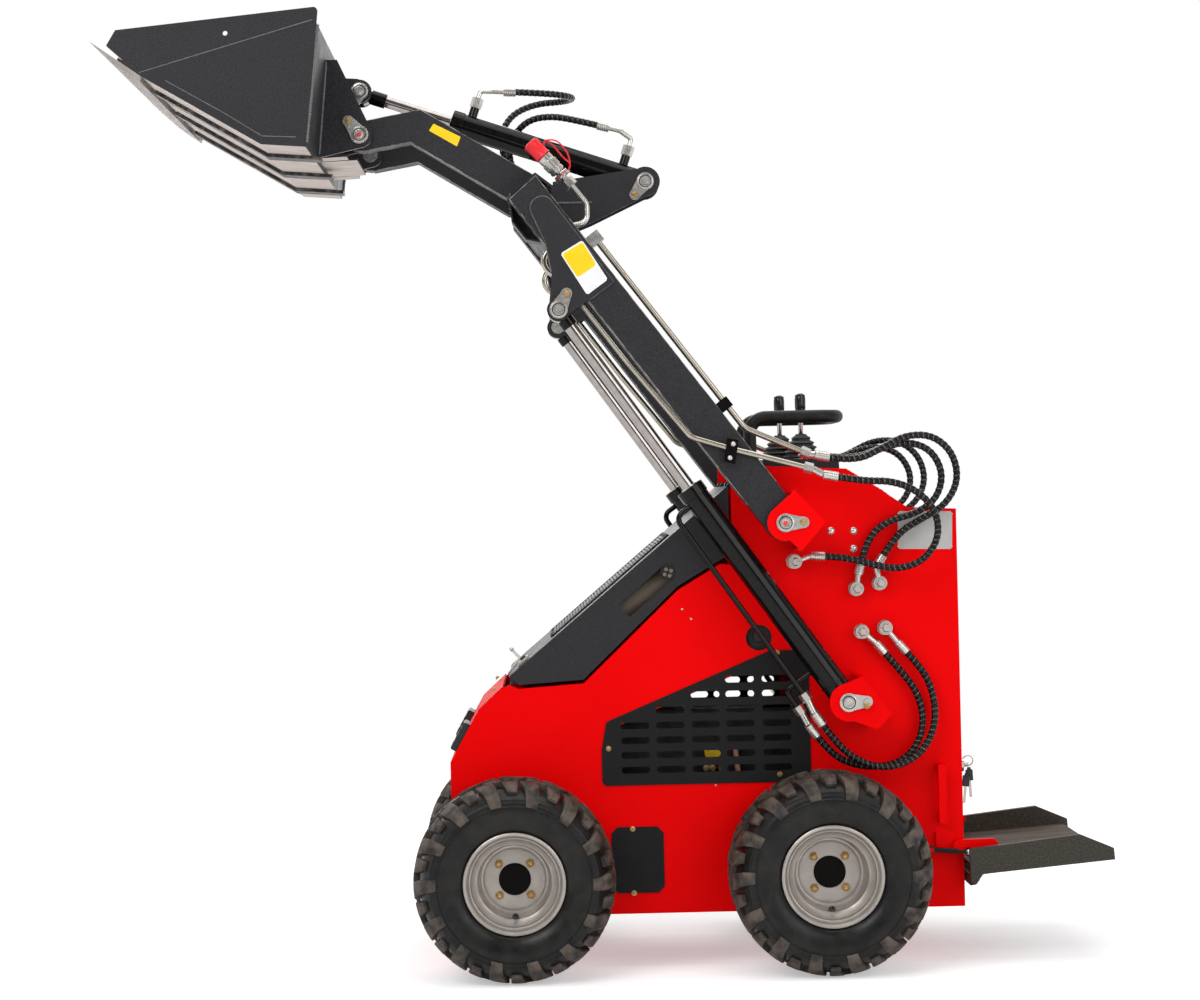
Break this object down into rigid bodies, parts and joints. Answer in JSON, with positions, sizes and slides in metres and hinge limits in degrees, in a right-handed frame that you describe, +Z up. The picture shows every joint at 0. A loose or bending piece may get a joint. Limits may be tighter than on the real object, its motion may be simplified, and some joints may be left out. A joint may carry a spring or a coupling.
{
  "type": "skid steer loader",
  "caption": "Compact stand-on wheeled skid steer loader with raised lift arms, dirt bucket, tilting hood and folding operator platform.",
  "frame": {"origin": "on the ground below the middle of the overall length and width", "axes": "+X forward to the bucket, +Y to the machine's left, +Z up"},
  "size_m": [2.259, 1.086, 2.179],
  "materials": {
    "bare_steel": "worn steel",
    "black_paint": "gloss black paint",
    "cap_red": "red rubber dust cap",
    "chrome_rod": "hard chrome",
    "engine_iron": "plain engine block",
    "grey_paint": "satin dark grey powder coat",
    "grip_foam": "black foam grip",
    "hose_cover": "black ribbed hose guard",
    "lamp_black": "black lamp housing",
    "lever_plastic": "black knobs and boots",
    "pipe_zinc": "yellow zinc plated tube",
    "red_paint": "gloss red powder coat",
    "tread_rubber": "black tyre rubber",
    "wheel_paint": "silver grey wheel paint",
    "zinc": "zinc plated steel"
  },
  "bodies": {
    "chassis": {"side_plates": "red_paint", "front_panel": "red_paint", "belly_plate": "red_paint", "rear_panel": "red_paint", "top_deck": "grey_paint", "side_covers": "grey_paint", "body_brackets": "red_paint", "chassis_pins": "zinc", "engine_block": "engine_iron", "wheel_motors": "bare_steel", "headlamps": "lamp_black", "handlebar": "grip_foam", "control_levers": "lever_plastic", "key_switch": "zinc", "hose_banjos": "zinc"},
    "boom": {"main_arms": "grey_paint", "front_arms": "grey_paint", "cross_member": "grey_paint", "boom_pins": "zinc", "boom_pipes": "pipe_zinc", "boom_fittings": "zinc", "pipe_clamps": "black_paint", "quick_couplers": "zinc", "coupler_caps": "cap_red", "boom_hose_upper_left": "hose_cover", "boom_hose_upper_right": "hose_cover", "boom_hose_inner_left": "hose_cover", "boom_hose_inner_right": "hose_cover", "boom_hose_lower_left": "hose_cover", "boom_hose_lower_right": "hose_cover"},
    "lift_barrel": {"lift_barrels": "black_paint", "lift_fittings": "zinc", "lift_hose_outer_left": "hose_cover", "lift_hose_outer_right": "hose_cover", "lift_hose_inner_left": "hose_cover", "lift_hose_inner_right": "hose_cover"},
    "lift_rod": {"lift_rods": "chrome_rod"},
    "tilt_tube": {"tilt_barrel": "black_paint", "tilt_fittings": "zinc", "tilt_hose_front": "hose_cover", "tilt_hose_rear": "hose_cover"},
    "tilt_shaft": {"tilt_rod": "chrome_rod"},
    "bucket": {"bucket_shell": "grey_paint", "bucket_wear": "bare_steel", "bucket_ears": "grey_paint", "bucket_pins": "zinc"},
    "platform": {"platform_floor": "grey_paint", "platform_sides": "grey_paint", "platform_arms": "red_paint"},
    "stays": {"platform_stays": "black_paint"},
    "hood_lid": {"hood": "grey_paint"},
    "wheel_front_left": {"tyre_front_left": "tread_rubber", "rim_front_left": "wheel_paint"},
    "wheel_front_right": {"tyre_front_right": "tread_rubber", "rim_front_right": "wheel_paint"},
    "wheel_rear_left": {"tyre_rear_left": "tread_rubber", "rim_rear_left": "wheel_paint"},
    "wheel_rear_right": {"tyre_rear_right": "tread_rubber", "rim_rear_right": "wheel_paint"}
  },
  "joints": [
    {"name": "wheel_front_left_spin", "type": "hinge", "parent": "chassis", "child": "wheel_front_left", "pos_m": [0.2405, 0.357, 0.2285], "axis": [0, 1, 0], "continuous": true},
    {"name": "wheel_front_right_spin", "type": "hinge", "parent": "chassis", "child": "wheel_front_right", "pos_m": [0.2405, -0.357, 0.2285], "axis": [0, 1, 0], "continuous": true},
    {"name": "wheel_rear_left_spin", "type": "hinge", "parent": "chassis", "child": "wheel_rear_left", "pos_m": [-0.4715, 0.357, 0.2285], "axis": [0, 1, 0], "continuous": true},
    {"name": "wheel_rear_right_spin", "type": "hinge", "parent": "chassis", "child": "wheel_rear_right", "pos_m": [-0.4715, -0.357, 0.2285], "axis": [0, 1, 0], "continuous": true},
    {"name": "boom_lift", "type": "hinge", "parent": "chassis", "child": "boom", "pos_m": [-0.3885, 0, 1.02], "axis": [0, -1, 0], "range_deg": [-80, 0], "deforming": ["boom_hose_upper_left", "boom_hose_upper_right", "boom_hose_inner_left", "boom_hose_inner_right", "boom_hose_lower_left", "boom_hose_lower_right"]},
    {"name": "lift_barrel_swing", "type": "hinge", "parent": "chassis", "child": "lift_barrel", "pos_m": [-0.5215, 0, 0.612], "axis": [0, -1, 0], "range_deg": [-58, 1], "deforming": ["lift_hose_outer_left", "lift_hose_outer_right", "lift_hose_inner_left", "lift_hose_inner_right"]},
    {"name": "lift_rod_slide", "type": "slide", "parent": "lift_barrel", "child": "lift_rod", "axis": [0.5749, 0, 0.8182], "range_m": [-0.4, 0.005]},
    {"name": "bucket_tilt", "type": "hinge", "parent": "boom", "child": "bucket", "pos_m": [0.5605, 0, 1.936], "axis": [0, 1, 0], "range_deg": [-60, 60]},
    {"name": "tilt_tube_swing", "type": "hinge", "parent": "boom", "child": "tilt_tube", "pos_m": [-0.1025, 0, 1.834], "axis": [0, 1, 0], "range_deg": [-5, 5], "deforming": ["tilt_hose_front", "tilt_hose_rear"]},
    {"name": "tilt_shaft_slide", "type": "slide", "parent": "tilt_tube", "child": "tilt_shaft", "axis": [0.9463, 0, 0.3234], "range_m": [-0.13, 0.13]},
    {"name": "platform_fold", "type": "hinge", "parent": "chassis", "child": "platform", "pos_m": [-0.7805, 0, 0.267], "axis": [0, 1, 0], "range_deg": [0, 75]},
    {"name": "stay_swing", "type": "hinge", "parent": "chassis", "child": "stays", "pos_m": [-0.7135, 0, 0.262], "axis": [0, 1, 0], "range_deg": [-1, 20]},
    {"name": "hood_hinge", "type": "hinge", "parent": "chassis", "child": "hood_lid", "pos_m": [-0.2755, 0, 1.108], "axis": [0, -1, 0], "range_deg": [0, 60]}
  ],
  "couplings": [
    {"joint": "lift_barrel_swing", "follows": "boom_lift", "ratio": 0.6852},
    {"joint": "lift_rod_slide", "follows": "boom_lift", "m_per_rad": 0.2835},
    {"joint": "tilt_tube_swing", "follows": "bucket_tilt", "ratio": 0.042},
    {"joint": "tilt_shaft_slide", "follows": "bucket_tilt", "m_per_rad": 0.12},
    {"joint": "stay_swing", "follows": "platform_fold", "ratio": 0.243}
  ]
}
